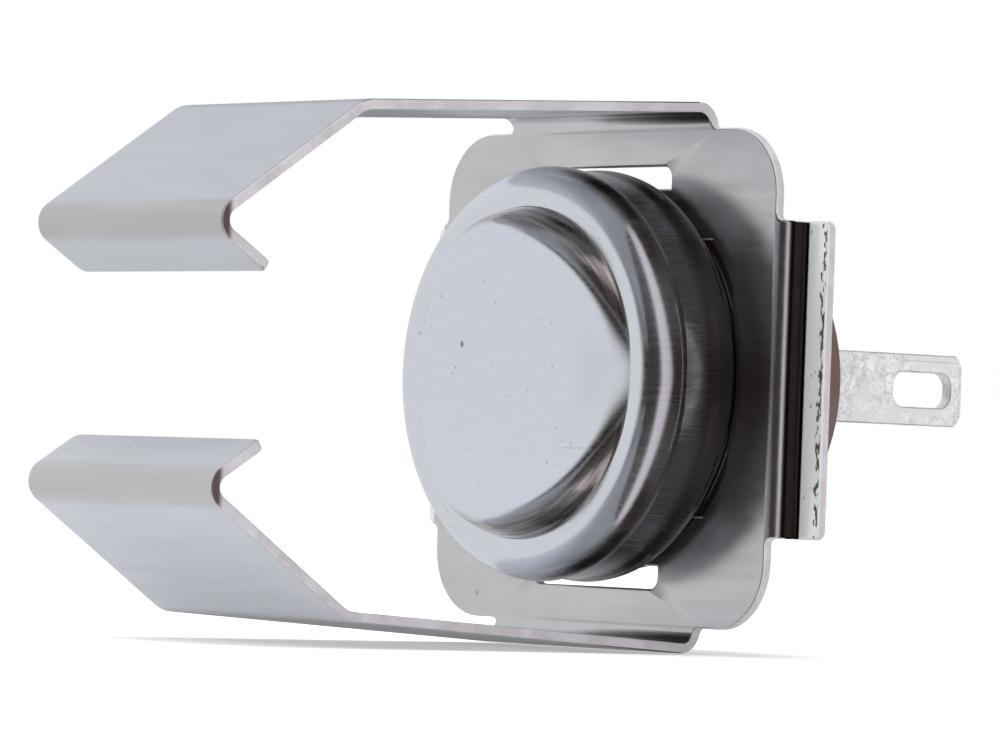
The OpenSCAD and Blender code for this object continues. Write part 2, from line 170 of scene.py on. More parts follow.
def window(tree, value, rise_from, rise_to, fall_from, fall_to):
    """One between the inner pair of values, and zero outside the outer pair."""
    rise = smooth_step(tree, value, rise_from, rise_to)
    fall = smooth_step(tree, value, fall_from, fall_to, 1.0, 0.0)
    return product(tree, rise, fall)


print("window:", window.__doc__)


# %% colours and places
def with_alpha(colour):
    """Three numbers get a fourth; a socket stays as it is."""
    return (*colour, 1) if isinstance(colour, tuple) else colour


def mix_colour(tree, factor, first, second):
    inputs = {"Factor": factor, 6: with_alpha(first), 7: with_alpha(second)}
    return add_node(tree, "ShaderNodeMix", {"data_type": "RGBA"}, inputs).outputs[2]


def object_place(tree):
    """The object's own coordinates: the vector, and the numbers along X, Y and Z."""
    place = add_node(tree, "ShaderNodeTexCoord").outputs["Object"]
    return place, *add_node(tree, "ShaderNodeSeparateXYZ", None, {0: place}).outputs


print("object_place:", object_place.__doc__)

# %% [markdown]
# ## Shared effects
# Three effects come back on most surfaces of this sensor: sparse dark pits with soft rims, slow
# clouds, and grain, which is noise drawn out along one way. Each is a node group, so every
# material can use it with its own numbers. Pits come from Voronoi cells, of which only a share is
# chosen. All work in metres, so a scale of 1000 repeats about once a millimetre. Noise gathers
# round one half, so the steps over it lie there.

# %% node groups
MID_NOISE = (0.35, 0.65)
WIDE_NOISE = (0.3, 0.7)


def new_group(name, inputs, output):
    """A node group with one output. Inputs are numbers, or vectors where three are given."""
    group = bpy.data.node_groups.new(name, "ShaderNodeTree")
    for label, default in inputs.items():
        kind = "NodeSocketVector" if isinstance(default, tuple) else "NodeSocketFloat"
        socket = group.interface.new_socket(label, in_out="INPUT", socket_type=kind)
        socket.default_value = default
    group.interface.new_socket(output, in_out="OUTPUT", socket_type="NodeSocketFloat")
    return group, group.nodes.new("NodeGroupInput").outputs, group.nodes.new("NodeGroupOutput")


print("new_group:", new_group.__doc__)


# %% pits, clouds and grain
def make_pits():
    sizes = {"Scale": 900.0, "Share": 0.12, "Size": 0.12}
    group, given, result = new_group("pits", sizes, "Pit")
    place = add_node(group, "ShaderNodeTexCoord").outputs["Object"]
    inputs = {"Vector": place, "Scale": given["Scale"], "Randomness": 1.0}
    cells = add_node(group, "ShaderNodeTexVoronoi", None, inputs).outputs
    chance = add_node(group, "ShaderNodeSeparateColor", None, {"Color": cells["Color"]}).outputs[0]
    chosen = math_node(group, "LESS_THAN", chance, given["Share"])
    near = smooth_step(group, cells["Distance"], given["Size"], 0.0)
    group.links.new(product(group, chosen, near), result.inputs["Pit"])
    return group


def make_mottle():
    sizes = {"Scale": 300.0, "Low": 0.0, "High": 1.0}
    group, given, result = new_group("mottle", sizes, "Value")
    place = add_node(group, "ShaderNodeTexCoord").outputs["Object"]
    inputs = {"Vector": place, "Scale": given["Scale"], "Detail": 4.0, "Roughness": 0.6}
    noise = add_node(group, "ShaderNodeTexNoise", None, inputs).outputs["Fac"]
    clouds = smooth_step(group, noise, *MID_NOISE, given["Low"], given["High"])
    group.links.new(clouds, result.inputs["Value"])
    return group


def make_grain():
    sizes = {"Place": (0.0, 0.0, 0.0), "Stretch": (1000.0, 1000.0, 1000.0), "Detail": 2.0}
    group, given, result = new_group("grain", sizes, "Grain")
    inputs = {0: given["Place"], 1: given["Stretch"]}
    scaled = add_node(group, "ShaderNodeVectorMath", {"operation": "MULTIPLY"}, inputs).outputs[0]
    inputs = {"Vector": scaled, "Scale": 1.0, "Detail": given["Detail"]}
    noise = add_node(group, "ShaderNodeTexNoise", None, inputs).outputs["Fac"]
    group.links.new(noise, result.inputs["Grain"])
    return group


PITS, MOTTLE, GRAIN = make_pits(), make_mottle(), make_grain()
print("groups:", PITS.name, MOTTLE.name, GRAIN.name)


# %% use the effects
def pits(tree, scale, share, size):
    """Pits by cells in a metre, the share of cells that have one, and its part of a cell."""
    inputs = {"Scale": scale, "Share": share, "Size": size}
    return add_node(tree, "ShaderNodeGroup", {"node_tree": PITS}, inputs).outputs[0]


def mottle(tree, scale, low=0.0, high=1.0):
    """Slow clouds from low to high."""
    inputs = {"Scale": scale, "Low": low, "High": high}
    return add_node(tree, "ShaderNodeGroup", {"node_tree": MOTTLE}, inputs).outputs[0]


def grain(tree, place, stretch, detail=2.0):
    """Noise by repeats in a metre along each way of the place. The fewest lie along the grain."""
    inputs = {"Place": place, "Stretch": stretch, "Detail": detail}
    return add_node(tree, "ShaderNodeGroup", {"node_tree": GRAIN}, inputs).outputs[0]


print("grain:", grain.__doc__)

# %% [markdown]
# ## Plain materials
# A plain piece, such as a rivet or a plastic sleeve, needs two close colours in slow clouds, with
# the gloss varying along. One even colour would look like a drawing, and more would be lost on
# pieces this small, so one function makes them all. Colours are linear.

# %% material helpers
GLOSS_SPREAD = 0.15


def new_material(name, metallic=0.0):
    material = bpy.data.materials.new(name)
    material.use_nodes = True
    shader = material.node_tree.nodes["Principled BSDF"].inputs
    shader["Metallic"].default_value = metallic
    return material, material.node_tree, shader


def bump(tree, shader, height, distance):
    inputs = {"Height": height, "Distance": distance, "Strength": 1.0}
    tree.links.new(add_node(tree, "ShaderNodeBump", None, inputs).outputs[0], shader["Normal"])


def plain_material(name, light, dark, rough, metallic=0.0, scale=400.0):
    """Two close colours in slow clouds, with the gloss varying three times as fast."""
    material, tree, shader = new_material(name, metallic)
    tree.links.new(mix_colour(tree, mottle(tree, scale), dark, light), shader["Base Color"])
    gloss = mottle(tree, scale * 3, rough * (1 - GLOSS_SPREAD), rough * (1 + GLOSS_SPREAD))
    tree.links.new(gloss, shader["Roughness"])
    return material


print("gloss varies by", round(GLOSS_SPREAD * 100), "percent")

# %% plain materials
RIVET = plain_material("rivet_metal", (0.66, 0.60, 0.48), (0.52, 0.46, 0.36), 0.35, 1.0)
STRAP = plain_material("strap_brass", (0.60, 0.42, 0.17), (0.50, 0.34, 0.14), 0.32, 1.0)
LEAD = plain_material("lead_metal", (0.62, 0.60, 0.56), (0.50, 0.48, 0.45), 0.30, 1.0)
SLEEVE = plain_material("sleeve_plastic", (0.80, 0.80, 0.74), (0.74, 0.74, 0.68), 0.45)
CHIP = plain_material("chip_ceramic", (0.075, 0.075, 0.08), (0.06, 0.06, 0.065), 0.6)
RESIN = plain_material("dark_resin", (0.035, 0.035, 0.04), (0.028, 0.028, 0.034), 0.2)
FILM = plain_material("amber_film", (0.55, 0.24, 0.03), (0.48, 0.20, 0.025), 0.2)
PASTE = plain_material("white_paste", (0.82, 0.82, 0.80), (0.76, 0.76, 0.74), 0.6)
print("plain materials:", RIVET.name, STRAP.name, LEAD.name, SLEEVE.name, CHIP.name, RESIN.name,
      FILM.name, PASTE.name)

# %% [markdown]
# ## Zones of the clip
# The clip is one folded sheet, but it doesn't look the same all over: the legs are duller, the
# flanges' lips are duller and painted pale as painted light, the step between plate and lip is
# painted dark as painted shade, and a painted shadow of the shear burr lies in dark blots along
# the edge of the right lip. Such zones could be painted on the mesh, but it has few points to
# paint.
# A mask over the object's coordinates is sharp anywhere, and fits because the sheet lies square
# to the axes there.

# %% zones of the clip
LIP_FROM = (10.45 * MM, 10.55 * MM)
LIP_TO = clip_high.x
WALL_ACROSS = (10.16 * MM, 10.26 * MM, 10.43 * MM, 10.49 * MM)
WALL_DEPTH = (4.5 * MM, 4.65 * MM)
# Painted shadow of the shear burr, in blots along the right lip's edge.
BLOT_STRETCH = (6000, 6000, 2600)
BLOTS_RARE, BLOTS_DENSE = 0.66, 0.47
BLOT_RIM = 0.08


def flange_wall(tree, out, depth):
    """The step between plate and lip, where painted shade goes."""
    return product(tree, window(tree, out, *WALL_ACROSS), smooth_step(tree, depth, *WALL_DEPTH))


def burr_shadow_blots(tree, place, across):
    """Painted shadow of the shear burr: blots that grow denser towards the edge of the right lip
    and end just inside it.
    """
    noise = grain(tree, place, BLOT_STRETCH, 3.0)
    limit = smooth_step(tree, across, LIP_TO - 0.46 * MM, LIP_TO - 0.20 * MM,
                        BLOTS_RARE, BLOTS_DENSE)
    blot = smooth_step(tree, difference(tree, noise, limit), 0.0, BLOT_RIM)
    lip = window(tree, across, *LIP_FROM, LIP_TO - 0.10 * MM, LIP_TO - 0.05 * MM)
    return product(tree, blot, lip)


print("lip:", round((LIP_TO - LIP_FROM[0]) / MM, 2), "mm wide")

# %% [markdown]
# ## The clip's steel
# Satin stainless sheet has a faint rolled grain, slow clouds, a few pits and many tiny specks. A
# picture of steel would blur up close, while noise in the colour and gloss of a metal shader
# stays fine at any distance. A dull zone is made less metallic: it then shows its own colour and
# less of the room.

# %% colours of the clip
SHEET_DARK, SHEET_LIGHT = (0.72, 0.725, 0.73), (0.76, 0.765, 0.765)
LEG_COLOUR = (0.73, 0.745, 0.785)
FOLD_COLOUR = (0.565, 0.555, 0.54)
# Painted shade: the step between plate and lip is painted nearly black, a painted dark reflection.
WALL_SHADE_COLOUR = (0.045, 0.034, 0.032)
PIT_COLOUR = (0.20, 0.21, 0.23)
# Painted light: the lips are painted pale, standing in for the bright reflection that the step in
# front of them blocks.
LIP_PAINTED_LIGHT = (0.82, 0.84, 0.82)
# The colour of the painted burr shadow.
BURR_SHADOW_COLOUR = (0.09, 0.08, 0.08)
LEG_DEPTH = (2.0 * MM, -2.0 * MM)
FOLD_DEPTH = (-18.1 * MM, -18.75 * MM)
LOW_PLACES = (0.0, -6.0 * MM)
PIT_SHADE, SPECK_SHADE = 0.55, 0.28


def clip_colour(tree, place, across, depth, leg, lip, pit):
    """The sheet's colour, from the clouds up to the blots, with the step's painted shade, the
    lips' painted light and the burr's painted shadow.
    """
    out = size_of(tree, across)
    sheet = mix_colour(tree, mottle(tree, 260.0), SHEET_DARK, SHEET_LIGHT)
    bluish = mix_colour(tree, leg, sheet, LEG_COLOUR)
    folded = mix_colour(tree, smooth_step(tree, depth, *FOLD_DEPTH), bluish, FOLD_COLOUR)
    shaded = mix_colour(tree, flange_wall(tree, out, depth), folded, WALL_SHADE_COLOUR)
    speck = product(tree, pits(tree, 1700.0, 0.13, 0.20), SPECK_SHADE)
    flaws = stronger(tree, product(tree, pit, PIT_SHADE), speck)
    pale = mix_colour(tree, lip, mix_colour(tree, flaws, shaded, PIT_COLOUR), LIP_PAINTED_LIGHT)
    return mix_colour(tree, burr_shadow_blots(tree, place, across), pale, BURR_SHADOW_COLOUR)


print("folds begin", round(-FOLD_DEPTH[0] / MM, 2), "mm before the sensing face")

# %% the clip's steel
LIP_DULLNESS = 0.62
LEG_DULLNESS = (0.25, 0.36)
LEG_ROUGHER = 0.10
SHEET_ROUGHNESS = (0.20, 0.27)
SHEET_BUMP = 0.004 * MM
GRAIN_HEIGHT, PIT_DEPTH = 0.06, 0.5
ROLLED_STRETCH = (250, 2200, 2200)


def clip_steel():
    """Satin sheet with a faint rolled grain. Legs and lips are duller, and the lips are painted
    pale as painted light.
    """
    material, tree, shader = new_material("clip_steel", 1.0)
    place, across, depth, up = object_place(tree)
    lip = smooth_step(tree, size_of(tree, across), *LIP_FROM)
    leg = smooth_step(tree, depth, *LEG_DEPTH)
    pit = pits(tree, 700.0, 0.10, 0.10)
    colour = clip_colour(tree, place, across, depth, leg, lip, pit)
    tree.links.new(colour, shader["Base Color"])
    leg_dull = product(tree, leg, smooth_step(tree, up, *LOW_PLACES, *LEG_DULLNESS))
    dull = total(tree, product(tree, lip, LIP_DULLNESS), leg_dull)
    tree.links.new(difference(tree, 1.0, dull), shader["Metallic"])
    rolled = grain(tree, place, ROLLED_STRETCH, 3.0)
    gloss = smooth_step(tree, rolled, *WIDE_NOISE, *SHEET_ROUGHNESS)
    tree.links.new(total(tree, gloss, product(tree, leg, LEG_ROUGHER)), shader["Roughness"])
    raised, sunk = product(tree, rolled, GRAIN_HEIGHT), product(tree, pit, PIT_DEPTH)
    bump(tree, shader, difference(tree, raised, sunk), SHEET_BUMP)
    return material


CLIP = clip_steel()
print("made", CLIP.name)

# %% [markdown]
# ## The clip's cut edges
# Shearing leaves a duller, slightly lilac edge with fine strokes across the sheet. Where the tips
# of the legs are folded back, the edge lies in the fold's shade and looks nearly black. The edges
# get a material of their own. Which faces it goes on is found from the sheet's thickness when the
# clip is copied, so nobody has to pick them by hand.

# %% cut edges
CUT_DARK, CUT_LIGHT = (0.64, 0.61, 0.635), (0.76, 0.735, 0.77)
FOLD_SHADE_COLOUR = (0.085, 0.042, 0.042)
FOLD_SHADE_DEPTH = (-18.2 * MM, -18.5 * MM)
FOLD_SHADE = 0.93
SHEAR_STRETCH = (1500, 5000, 5000)
SHEAR_ROUGHNESS = (0.40, 0.55)


def cut_edge():
    material, tree, shader = new_material("cut_edge", 0.35)
    place, _, depth, _ = object_place(tree)
    clean = mix_colour(tree, mottle(tree, 900.0), CUT_DARK, CUT_LIGHT)
    shade = smooth_step(tree, depth, *FOLD_SHADE_DEPTH, 0.0, FOLD_SHADE)
    tree.links.new(mix_colour(tree, shade, clean, FOLD_SHADE_COLOUR), shader["Base Color"])
    strokes = grain(tree, place, SHEAR_STRETCH)
    gloss = smooth_step(tree, strokes, *WIDE_NOISE, *SHEAR_ROUGHNESS)
    tree.links.new(gloss, shader["Roughness"])
    return material


EDGE = cut_edge()
print("made", EDGE.name)

# %% [markdown]
# ## Marks on the cap's face
# The face carries one deep nick and a few soft stains and scratches. They could be cut into the
# mesh, but they are a tenth of a millimetre wide, so each is an oval in the face's plane instead,
# with a rim that noise breaks up.

# %% marks on the face
# Place across and up, half width and half height in mm, and how dark the mark is.
CAP_MARKS = [
    (-3.32, 1.06, 0.11, 0.17, 0.95), (-3.75, 0.15, 0.09, 0.10, 0.45),
    (-3.95, -0.05, 0.07, 0.08, 0.4), (-4.35, 2.9, 0.07, 0.10, 0.35),
    (-1.05, 2.65, 0.08, 0.07, 0.35), (2.1, 0.25, 0.10, 0.07, 0.3),
    (0.7, -0.65, 0.08, 0.07, 0.3), (-3.5, 5.1, 0.55, 0.12, 0.28),
    (3.9, -2.85, 0.9, 0.05, 0.22),
]
FACE_DEPTH = (0.4 * MM, 0.5 * MM)
RIM_STRETCH = (2500, 0, 2500)
RIM_NOISE = 0.9
RIM_STEP = (1.5, 0.6)


def face_mark(tree, x, z, half_wide, half_high, strength):
    """A soft oval mark on the front of the cap."""
    place, across, depth, up = object_place(tree)
    noise = grain(tree, place, RIM_STRETCH)
    wide = math_node(tree, "DIVIDE", difference(tree, across, x * MM), half_wide * MM)
    high = math_node(tree, "DIVIDE", difference(tree, up, z * MM), half_high * MM)
    apart = total(tree, product(tree, wide, wide), product(tree, high, high))
    uneven = total(tree, apart, product(tree, noise, RIM_NOISE))
    on_face = smooth_step(tree, depth, *FACE_DEPTH, strength, 0.0)
    return product(tree, smooth_step(tree, uneven, *RIM_STEP), on_face)


print("marks on the face:", len(CAP_MARKS))

# %% [markdown]
# ## Painted reflection round the pad
# The pad on the face slopes down to a ring. Above and below, that slope is painted darker in
# streaky arcs, as a painted dark reflection of the room. The arcs are grain on the UV map, which
# runs round the cap and along the sheet. The mask is a ring about the cap's axis, cut off at the
# left and at mid height, where the slope is lower and no reflection is painted.

# %% soil round the pad
SLOPE_RADIUS = (5.55 * MM, 5.95 * MM, 6.38 * MM, 6.42 * MM)
SLOPE_DEPTH = (0.45 * MM, 0.5 * MM)
DARK_SLOPE_ACROSS = (-4.0 * MM, -1.5 * MM)
DARK_SLOPE_UP = (0.8 * MM, 2.2 * MM)
# Painted dark reflection on the pad's slope, in streaky arcs.
SLOPE_REFLECTION_DARK, SLOPE_REFLECTION_LIGHT = (0.38, 0.34, 0.32), (0.72, 0.70, 0.68)
ARC_STRETCH = (350, 11000, 0)


def pad_slope(tree, across, depth, up):
    """The slope round the pad, where the dark reflection is painted."""
    flat = add_node(tree, "ShaderNodeCombineXYZ", None, {0: across, 2: up}).outputs[0]
    length = {"operation": "LENGTH"}
    radius = add_node(tree, "ShaderNodeVectorMath", length, {0: flat}).outputs["Value"]
    ring = window(tree, radius, *SLOPE_RADIUS)
    at_front = smooth_step(tree, depth, *SLOPE_DEPTH, 1.0, 0.0)
    right = smooth_step(tree, across, *DARK_SLOPE_ACROSS)
    off_middle = smooth_step(tree, size_of(tree, up), *DARK_SLOPE_UP)
    return product(tree, ring, at_front, right, off_middle)


def slope_reflection_colour(tree, along):
    arcs = smooth_step(tree, grain(tree, along, ARC_STRETCH, 3.0), *MID_NOISE)
    return mix_colour(tree, arcs, SLOPE_REFLECTION_DARK, SLOPE_REFLECTION_LIGHT)


print("slope from", round(SLOPE_RADIUS[0] / MM, 2), "to", round(SLOPE_RADIUS[3] / MM, 2), "mm")

# %% [markdown]
# ## The cap's metal
# The cap is drawn from bright sheet. Its face was brushed along X after drawing, and its side
# keeps the strokes of the die along the axis and is duller. Behind the band and in the groove the
# side is painted darker, as painted shade. The face's noise follows the object's coordinates. On
# the side those would smear, so its noise follows the UV map, whose first number runs round the
# cap.

# %% flaws of the cap
MARK_COLOUR = (0.20, 0.20, 0.22)
FACE_PIT_SHADE, FACE_SPECK_SHADE, DASH_SHADE = 0.5, 0.40, 0.13
DASH_STRETCH, DASH_LIMIT = (1300, 1300, 9000), (0.66, 0.76)


def face_flaws(tree, place):
    """Pits, specks, fine dashes along the brushing, and the marks in the list."""
    pit = product(tree, pits(tree, 800.0, 0.09, 0.10), FACE_PIT_SHADE)
    speck = product(tree, pits(tree, 1900.0, 0.11, 0.20), FACE_SPECK_SHADE)
    noise = grain(tree, place, DASH_STRETCH)
    dash = product(tree, smooth_step(tree, noise, *DASH_LIMIT), DASH_SHADE)
    marks = [face_mark(tree, *mark) for mark in CAP_MARKS]
    return stronger(tree, pit, speck, dash, *marks)


print("face_flaws:", face_flaws.__doc__)

# %% colours of the cap
FACE_DARK, FACE_LIGHT = (0.825, 0.86, 0.91), (0.87, 0.905, 0.95)
SIDE_DARK, SIDE_LIGHT = (0.52, 0.49, 0.51), (0.63, 0.61, 0.65)
# Painted shade: the side is painted darker behind the band and in the groove.
REAR_SHADE_COLOUR = (0.17, 0.15, 0.14)
GROOVE_SHADE_COLOUR = (0.10, 0.085, 0.08)
REAR_FROM, REAR_SHADE = (2.5 * MM, 3.1 * MM), 0.62
GROOVE_FROM, GROOVE_TO = (4.2 * MM, 4.5 * MM), (5.6 * MM, 6.2 * MM)
PAST_GROOVE = 0.3


def cap_colour(tree, along, side, lines):
    """The metal's colour: face and side, the painted shade at the rear and in the groove, the
    painted dark reflection round the pad, and the flaws.
    """
    place, across, depth, up = object_place(tree)
    streaks = smooth_step(tree, lines, *MID_NOISE)
    face = mix_colour(tree, streaks, FACE_DARK, FACE_LIGHT)
    drawn = mix_colour(tree, streaks, SIDE_DARK, SIDE_LIGHT)
    clean = mix_colour(tree, side, face, drawn)
    rear = product(tree, smooth_step(tree, depth, *REAR_FROM, 0.0, REAR_SHADE),
                   smooth_step(tree, depth, *GROOVE_TO, 1.0, PAST_GROOVE))
    banded = mix_colour(tree, rear, clean, REAR_SHADE_COLOUR)
    slope_reflection = slope_reflection_colour(tree, along)
    darkened_slope = mix_colour(tree, pad_slope(tree, across, depth, up), banded, slope_reflection)
    groove = window(tree, depth, *GROOVE_FROM, *GROOVE_TO)
    grooved = mix_colour(tree, groove, darkened_slope, GROOVE_SHADE_COLOUR)
    return mix_colour(tree, face_flaws(tree, place), grooved, MARK_COLOUR)


print("groove darkest to", round(GROOVE_TO[0] / MM, 2), "mm behind the sensing face")

# %% the cap's metal
SIDE_FROM = (0.5 * MM, 1.2 * MM)
BRUSHED_STRETCH, DRAWN_STRETCH = (500, 500, 15000), (13000, 700, 0)
CAP_ROUGHNESS = (0.13, 0.24)
CAP_BUMP = 0.0008 * MM


def cap_metal():
    """Bright drawn sheet: brushed along X on the face, with strokes along the axis on the side."""
    material, tree, shader = new_material("cap_metal", 1.0)
    place, _, depth, _ = object_place(tree)
    along = add_node(tree, "ShaderNodeTexCoord").outputs["UV"]
    brushed = grain(tree, place, BRUSHED_STRETCH, 3.0)
    drawn = grain(tree, along, DRAWN_STRETCH, 3.0)
    side = smooth_step(tree, depth, *SIDE_FROM)
    inputs = {"Factor": side, 2: brushed, 3: drawn}
    lines = add_node(tree, "ShaderNodeMix", None, inputs).outputs[0]
    tree.links.new(cap_colour(tree, along, side, lines), shader["Base Color"])
    tree.links.new(smooth_step(tree, lines, *WIDE_NOISE, *CAP_ROUGHNESS), shader["Roughness"])
    bump(tree, shader, lines, CAP_BUMP)
    return material


CAP = cap_metal()
print("made", CAP.name, "with", len(CAP.node_tree.nodes), "nodes")

# %% [markdown]
# ## The tabs' tin
# The push-on tabs are tinned brass: mottled white and grey, crossed by fine creases and by two
# scribed lines. A crease could be a texture of cracks, but those meet at corners like dried mud.
# Drawn where noise passes through one half, it becomes a thin winding line, as on old tin. The
# rounded rims of the tab are worn darker, so they get a material of their own.

# %% scribed lines
UPPER_LINE_UP, UPPER_LINE_FROM = 1.13 * MM, (15.0 * MM, 15.6 * MM)
UPPER_LINE_RIM, UPPER_LINE_SHADE = (0.035 * MM, 0.01 * MM), 0.8
TIP_LINE_DEPTH, TIP_LINE_RIM = 18.42 * MM, (0.045 * MM, 0.015 * MM)
TIP_LINE_END = (1.0 * MM, 0.9 * MM)


def tab_lines(tree, depth, up):
    """Faint scribed lines: one under the upper edge and one beside the tip."""
    off = size_of(tree, difference(tree, up, UPPER_LINE_UP))
    upper = product(tree, smooth_step(tree, off, *UPPER_LINE_RIM),
                    smooth_step(tree, depth, *UPPER_LINE_FROM, 0.0, UPPER_LINE_SHADE))
    off = size_of(tree, difference(tree, depth, TIP_LINE_DEPTH))
    tip = product(tree, smooth_step(tree, off, *TIP_LINE_RIM),
                  smooth_step(tree, size_of(tree, up), *TIP_LINE_END))
    return stronger(tree, upper, tip)


print("tab_lines:", tab_lines.__doc__)

# %% the tabs' tin
TIN_GREY, TIN_WHITE = (0.76, 0.76, 0.77), (0.90, 0.90, 0.94)
TIN_ROUGHNESS = (0.32, 0.50)
TIN_BUMP = 0.02 * MM
CREASE_COLOUR, CREASE_SHADE = (0.47, 0.44, 0.41), 0.75
CREASE_STRETCH = (5200, 3400, 2600)
CREASE_MIDDLE, CREASE_WIDTH = 0.5, 0.06
CREASE_PATCHES = (0.2, 0.8)


def tab_metal():
    """Tinned sheet, mottled white and grey, with creases and lines."""
    material, tree, shader = new_material("tinned_brass", 0.2)
    place, _, depth, up = object_place(tree)
    fine, slow = mottle(tree, 1600.0), mottle(tree, 500.0)
    crossing = grain(tree, place, CREASE_STRETCH, 5.0)
    apart = size_of(tree, difference(tree, crossing, CREASE_MIDDLE))
    crease = product(tree, smooth_step(tree, apart, CREASE_WIDTH, 0.0),
                     smooth_step(tree, slow, *CREASE_PATCHES, *CREASE_PATCHES))
    drawn = stronger(tree, crease, tab_lines(tree, depth, up))
    tin = mix_colour(tree, product(tree, fine, slow), TIN_GREY, TIN_WHITE)
    creased = mix_colour(tree, product(tree, drawn, CREASE_SHADE), tin, CREASE_COLOUR)
    tree.links.new(creased, shader["Base Color"])
    tree.links.new(smooth_step(tree, fine, 0.0, 1.0, *TIN_ROUGHNESS), shader["Roughness"])
    bump(tree, shader, fine, TIN_BUMP)
    return material


TAB = tab_metal()
TAB_RIM = plain_material("tab_rim", (0.50, 0.50, 0.52), (0.34, 0.33, 0.33), 0.4, 0.2, 900.0)
print("made", TAB.name, "and", TAB_RIM.name)

# %% [markdown]
# ## The base's plastic
# The base is pressed from dark brown plastic. It is nearly one colour, and what shows that it is
# moulded is its fine skin. So the same noise drives the gloss and a slight bump, which costs less
# than a finer mesh.

# %% the base's plastic
BROWN_DARK, BROWN_LIGHT = (0.150, 0.094, 0.083), (0.172, 0.109, 0.097)
SKIN_ROUGHNESS = (0.35, 0.50)
SKIN_BUMP = 0.01 * MM


def brown_moulding():
    material, tree, shader = new_material("brown_moulding")
    colour = mix_colour(tree, mottle(tree, 500.0), BROWN_DARK, BROWN_LIGHT)
    tree.links.new(colour, shader["Base Color"])
    skin = mottle(tree, 3000.0, *SKIN_ROUGHNESS)
    tree.links.new(skin, shader["Roughness"])
    bump(tree, shader, skin, SKIN_BUMP)
    return material


BASE = brown_moulding()
print("made", BASE.name)

# %% [markdown]
# ## Soft copies of the folded and moulded parts
# No real edge is perfectly sharp, and a rounded one catches a thin line of light. The pieces could
# be modelled anew, but the CAD meshes have the right shape already. So a copy is merged, its flat
# faces are joined for the bevel to meet clean edges, and the sharp edges are rounded. On sheet
# parts, a face that looks through far more than the sheet's thickness is a cut edge.

# %% pieces that stand for CAD nodes
THROUGH_START = 0.05
THROUGH_LIMIT = 2.0
FLAT_WEIGHT = 80


def new_piece(name, mesh_data, node):
    """Links a mesh as the piece that stands for a CAD node."""
    piece = bpy.data.objects.new(name, mesh_data)
    bpy.context.scene.collection.objects.link(piece)
    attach(piece, "root")
    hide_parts(node)
    return piece


def mark_cut_edges(shape, sheet):
    """Gives the second material to faces with more than two sheets' thickness behind them."""
    tree = BVHTree.FromBMesh(shape)
    for face in shape.faces:
        start = face.calc_center_median() - face.normal * sheet * THROUGH_START
        way_through = tree.ray_cast(start, -face.normal)[3]
        deep = way_through is None or way_through > THROUGH_LIMIT * sheet
        face.material_index = 1 if deep else 0


def smooth(piece):
    """Smooth shading that keeps the flat faces flat, stored in the mesh."""
    piece.data.shade_smooth()
    modifier = piece.modifiers.new("flat_faces", "WEIGHTED_NORMAL")
    modifier.weight = FLAT_WEIGHT
    view = bpy.context.evaluated_depsgraph_get()
    finished = bpy.data.meshes.new_from_object(piece.evaluated_get(view))
    piece.modifiers.clear()
    piece.data = finished


print("mark_cut_edges:", mark_cut_edges.__doc__)

# %% soft copies
SHARP = math.radians(38)
FLAT = math.radians(0.4)
SAME_PLACE = 0.0005 * MM


def soft_copy(node, material, radius, segments=3, sheet=None, rim=None):
    """A copy of a CAD node with rounded edges, which get the material rim where one is given."""
    shape = bmesh.new()
    shape.from_mesh(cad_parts[node].data)
    bmesh.ops.remove_doubles(shape, verts=shape.verts, dist=SAME_PLACE)
    if sheet:
        mark_cut_edges(shape, sheet)
    bmesh.ops.dissolve_limit(shape, angle_limit=FLAT, verts=shape.verts, edges=shape.edges,
                             delimit={"MATERIAL"})
    sharp = [edge for edge in shape.edges
             if len(edge.link_faces) == 2 and edge.calc_face_angle(0) > SHARP]
    rounded = bmesh.ops.bevel(shape, geom=sharp, offset=radius, offset_type="OFFSET",
                              segments=segments, profile=0.5, affect="EDGES",
                              clamp_overlap=False, material=-1)
    if rim:
        for face in rounded["faces"]:
            face.material_index = 1
    many_sided = [face for face in shape.faces if len(face.verts) > 4]
    bmesh.ops.triangulate(shape, faces=many_sided)
    data = bpy.data.meshes.new(node + "_soft")
    shape.to_mesh(data)
    shape.free()
    data.materials.append(material)
    if sheet or rim:
        data.materials.append(rim or EDGE)
    piece = new_piece(node + "_soft", data, node)
    smooth(piece)
    print(node, "softened:", len(piece.data.polygons), "faces")


print("edges over", round(math.degrees(SHARP)), "degrees are rounded")

# %% round the clip, the base and the tabs
CLIP_SHEET = 0.4 * MM
soft_copy("spring_clip", CLIP, 0.09 * MM, sheet=CLIP_SHEET)
soft_copy("terminal_base", BASE, 0.06 * MM)
for side in ("left", "right"):
    soft_copy(side + "_tab", TAB, 0.05 * MM, segments=2, rim=TAB_RIM)

# %% [markdown]
# ## The drawn cap's section
# The real cap is one sheet, drawn in a press: a pad in front, a round shoulder, a plain side, a
# raised band, a groove that the clip grips, a bead, and a skirt crimped over the base. Its middle
# line is a run of straight lengths and bends, as in the part's source, with many more steps round
# each bend and a gentler step up to the band. Such a list is easier to correct than points.

